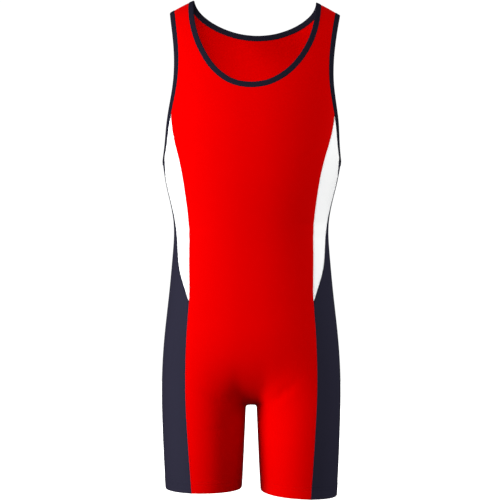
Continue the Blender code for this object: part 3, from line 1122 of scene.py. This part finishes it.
    def build(self, neighbours: Neighbours) -> None:
        """Builds and dresses the panel.

        Args:
            neighbours: The solids around it and the borders already sewn.
        """
        self.neighbours = neighbours
        grid = outer_skin(self.node)
        uneven = sum(len(face.verts) != 4 for face in grid.faces)
        if self.hem_strips:
            self.split_hem(grid)
        self.edge(grid)
        mesh = bpy.data.meshes.new(f"{self.node}_cloth")
        grid.to_mesh(mesh)
        grid.free()
        piece = new_object(f"{self.node}_cloth", mesh)
        self.piece = piece
        self.unwrap()
        apply_modifier(
            piece,
            "SUBSURF",
            levels=SUBDIVISIONS,
            render_levels=SUBDIVISIONS,
            boundary_smooth="PRESERVE_CORNERS",
            uv_smooth="PRESERVE_BOUNDARIES",
        )
        self.close_seams()
        self.crease()
        self.note_border()
        self.draw_in()
        self.skin = tree_of(piece)
        self.thicken()
        dress(piece, self.knit.material())
        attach(piece, BODY)
        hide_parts(self.node)
        width, length, area = self.cut
        sizes = (width * MM_PER_METRE, length * MM_PER_METRE, area * CM2_PER_M2)
        log.info("%s: %d uneven faces, cut %.0f x %.0f mm, %.0f cm2", piece.name, uneven, *sizes)


def hem_top(x: float, height: float) -> float:
    """The level of the top of the turned-up hem, which hangs lower towards the right leg's outside."""
    reach = min(1.0, max(0.0, x) / HEM_FALL_REACH)
    return HEM_EDGE - HEM_FALL * math.sqrt(reach) + height


@dataclass
class Binding:
    """A folded strip of stretch tape round an opening."""

    node: str
    knit: StretchKnit
    slot: str = "navy_binding"
    stretch: float = 1.1
    surface: BVHTree | None = field(default=None, init=False)

    def unwrap(self, piece: bpy.types.Object) -> None:
        """Lays the tape flat in metres, its length along one axis, by going from face to face.

        Args:
            piece: The tape before it is subdivided.
        """
        start_unwrap(piece)
        grid = bmesh.from_edit_mesh(piece.data)
        grid.faces.ensure_lookup_table()
        first = grid.faces[0]
        grid.faces.active = first
        flat = grid.loops.layers.uv["cloth"]
        width, length = (loop.edge.calc_length() for loop in list(first.loops)[:2])
        corners = ((0.0, 0.0), (width, 0.0), (width, length), (0.0, length))
        for loop, corner in zip(first.loops, corners):
            loop[flat].uv = corner
        for face in grid.faces:
            for loop in face.loops:
                loop[flat].select = True
                loop[flat].select_edge = True
        bmesh.update_edit_mesh(piece.data)
        bpy.ops.uv.follow_active_quads(mode="LENGTH_AVERAGE")
        bpy.ops.object.mode_set(mode="OBJECT")

    def build(self) -> None:
        """Builds and dresses the binding."""
        copy = merged_copy(self.node)
        pair_triangles(copy)
        mesh = bpy.data.meshes.new(f"{self.node}_tape")
        copy.to_mesh(mesh)
        copy.free()
        piece = new_object(f"{self.node}_tape", mesh)
        self.unwrap(piece)
        apply_modifier(piece, "SUBSURF", levels=SUBDIVISIONS, render_levels=SUBDIVISIONS)
        dress(piece, self.knit.material())
        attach(piece, BODY)
        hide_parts(self.node)
        self.surface = tree_of(piece)

    def sew(self, rows: StitchRows, panels: list[Panel]) -> None:
        """Adds the rows that hold the tape down, on both of its faces, along the panels' tucked edges.

        Args:
            rows: The stitches that the rows join.
            panels: The finished panels.
        """
        for panel in panels:
            for run in panel.runs:
                if run.join is not Join.BINDING:
                    continue
                for face in (1, -1):
                    aimed = run.points - run.inward * TAPE_ROW + run.normals * face * TAPE_HALF
                    places, normals, away = nearest_on(self.surface, aimed)
                    rows.add_parts(places, normals, away < 2 * TAPE_HALF)

    def sew_join(self, rows: StitchRows, start: Vector, end: Vector) -> None:
        """Adds the two short rows across the tape where its ends are joined.

        Args:
            rows: The stitches that the rows join.
            start: A place at one edge of the tape.
            end: The place across it at the other edge.
        """
        middle, normal = self.surface.find_nearest((start + end) / 2)[:2]
        along = (end - start).cross(normal).normalized()
        across = normal.cross(along) * (end - start).length / 2
        for shift in (-JOIN_HALF, JOIN_HALF):
            for face in (1, -1):
                start = middle + along * shift
                aimed = [start + across * way + normal * face * TAPE_HALF for way in JOIN_WAYS]
                places, normals, _ = nearest_on(self.surface, np.array(aimed))
                rows.add_run(places, normals)


# The studio.


@dataclass
class Studio:
    """A plain pale floor, soft lights and the camera."""

    floor_level: float = -0.905
    floor_reach: float = 3.0
    camera_place: Place = (-0.0004, -3.0, -0.4414)
    metres_per_pixel: float = 0.00178
    frame_pixels: int = 502
    sensor: float = 36.0
    ambient: float = 0.06
    backdrop: float = 1.05
    floor_grain: float = 3.0
    floor_tones: tuple[float, float] = (0.96, 0.94)
    floor_bounce: float = 0.15
    floor_gloss: float = 0.02
    floor_glow: float = 0.6
    aim: Place = (0.0, 0.0, -0.45)

    def floor(self) -> None:
        """Adds the floor, which the camera sees as white and which throws little light back on the cloth."""
        bpy.ops.object.select_all(action="DESELECT")
        bpy.ops.mesh.primitive_plane_add(size=2 * self.floor_reach, location=(0, 0, self.floor_level))
        floor = bpy.context.active_object
        floor.name = "floor"
        graph = ShaderGraph("floor_white")
        pale = graph.mix(graph.noise(graph.place(), self.floor_grain), *map(grey, self.floor_tones))
        unseen = graph.mix(graph.ray("Glossy"), grey(self.floor_bounce), grey(self.floor_gloss))
        seen = graph.ray("Camera")
        floor.data.materials.append(
            graph.finish(
                Base_Color=graph.mix(seen, unseen, pale),
                Roughness=0.9,
                Specular_IOR_Level=0.0,
                Emission_Color=graph.mix(seen, grey(0.0), grey(1.0)),
                Emission_Strength=self.floor_glow,
            )
        )

    def world(self) -> None:
        """Lights the room softly, white where the camera looks past the garment."""
        world = bpy.data.worlds.new("studio")
        bpy.context.scene.world = world
        world.use_nodes = True
        nodes, links = world.node_tree.nodes, world.node_tree.links
        soft, white = nodes["Background"], nodes.new("ShaderNodeBackground")
        for background, strength in ((soft, self.ambient), (white, self.backdrop)):
            background.inputs["Color"].default_value = grey(1.0)
            background.inputs["Strength"].default_value = strength
        path = nodes.new("ShaderNodeLightPath")
        mixed = nodes.new("ShaderNodeMixShader")
        links.new(path.outputs["Is Camera Ray"], mixed.inputs[0])
        links.new(soft.outputs[0], mixed.inputs[1])
        links.new(white.outputs[0], mixed.inputs[2])
        links.new(mixed.outputs[0], nodes["World Output"].inputs["Surface"])

    def light(self, name: str, place: Place, size: float, power: float, shines: bool = False) -> None:
        """Adds a soft square light, turned to the middle of the garment.

        Args:
            name: The light's name.
            place: Where it stands.
            size: The length of its side.
            power: Its power in watts.
            shines: Whether the cloth's gloss shows it.
        """
        data = bpy.data.lights.new(name, "AREA")
        data.shape = "SQUARE"
        data.size = size
        data.energy = power
        lamp = bpy.data.objects.new(name, data)
        lamp.location = place
        lamp.rotation_euler = (Vector(self.aim) - Vector(place)).to_track_quat("-Z", "Y").to_euler()
        lamp.visible_glossy = shines
        bpy.context.scene.collection.objects.link(lamp)

    def camera(self) -> None:
        """Stands the camera straight in front, and shows colours as they are."""
        bpy.context.scene.view_settings.view_transform = "Standard"
        data = bpy.data.cameras.new("camera")
        data.sensor_width = self.sensor
        distance = -self.camera_place[1]
        data.lens = self.sensor * distance / (self.frame_pixels * self.metres_per_pixel)
        camera = bpy.data.objects.new("camera", data)
        camera.location = self.camera_place
        camera.rotation_euler = (math.radians(90), 0, 0)
        bpy.context.scene.collection.objects.link(camera)
        bpy.context.scene.camera = camera

    def build(self) -> None:
        """Sets up the whole studio."""
        self.floor()
        self.world()
        self.light("key_light", (-2.6, -1.5, -0.2), 1.3, 132.0)
        self.light("front_light", (-0.3, -3.4, 1.0), 1.3, 77.0, shines=True)
        self.light("right_light", (3.0, 0.4, 0.1), 1.3, 86.0)
        self.light("back_light", (-0.4, 2.3, 1.5), 1.4, 80.0)
        self.camera()


# The garment.


def cut_panels() -> dict[str, list[Panel]]:
    """Cuts the panels.

    Returns:
        The panels under the colour of their cloth, in the order that they are sewn.
    """
    insert = {"sewn_band": 0.0, "border": 0.0004, "hem_strips": 0, "point_drop": 0.00045}
    return {
        "red": [Panel(f"{part}_panel", RED_KNIT, "red_cloth") for part in ("front", "back")],
        "white": [Panel(f"side_insert_{side.word}", WHITE_KNIT, "white_cloth", **insert) for side in Side],
        "navy": [Panel(f"side_panel_{side.word}", NAVY_KNIT, "navy_cloth") for side in Side],
    }


def bind_openings(panels: list[Panel]) -> None:
    """Builds the tapes round the openings and the stitches that hold them.

    Args:
        panels: The finished panels.
    """
    stitches = StitchRows("binding_stitches", NAVY_THREAD, "navy_binding")
    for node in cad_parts:
        if node in TAPE_JOINS:
            tape = Binding(node, NAVY_TAPE)
            tape.build()
            tape.sew(stitches, panels)
            tape.sew_join(stitches, *TAPE_JOINS[node])
    stitches.build()


def sew_panels(word: str, panels: list[Panel]) -> None:
    """Builds the stitches along the seams and hems of the panels of one cloth.

    Args:
        word: The colour of the cloth.
        panels: The finished panels.
    """
    for join, offsets in ROW_OFFSETS.items():
        rows = StitchRows(f"{word}_{join.value}_stitches", THREADS[word], f"{word}_cloth")
        for panel in panels:
            for offset in offsets:
                panel.sew(rows, join, offset)
        if rows.runs:
            rows.build()


def main() -> None:
    """Dresses every piece and sets up the studio."""
    logging.basicConfig(level=logging.INFO, format="%(message)s")
    Studio().build()
    cloths = cut_panels()
    panels = [panel for group in cloths.values() for panel in group]
    neighbours = Neighbours()
    for panel in panels:
        panel.build(neighbours)
    bind_openings(panels)
    for word, group in cloths.items():
        sew_panels(word, group)


if __name__ == "__main__":
    main()
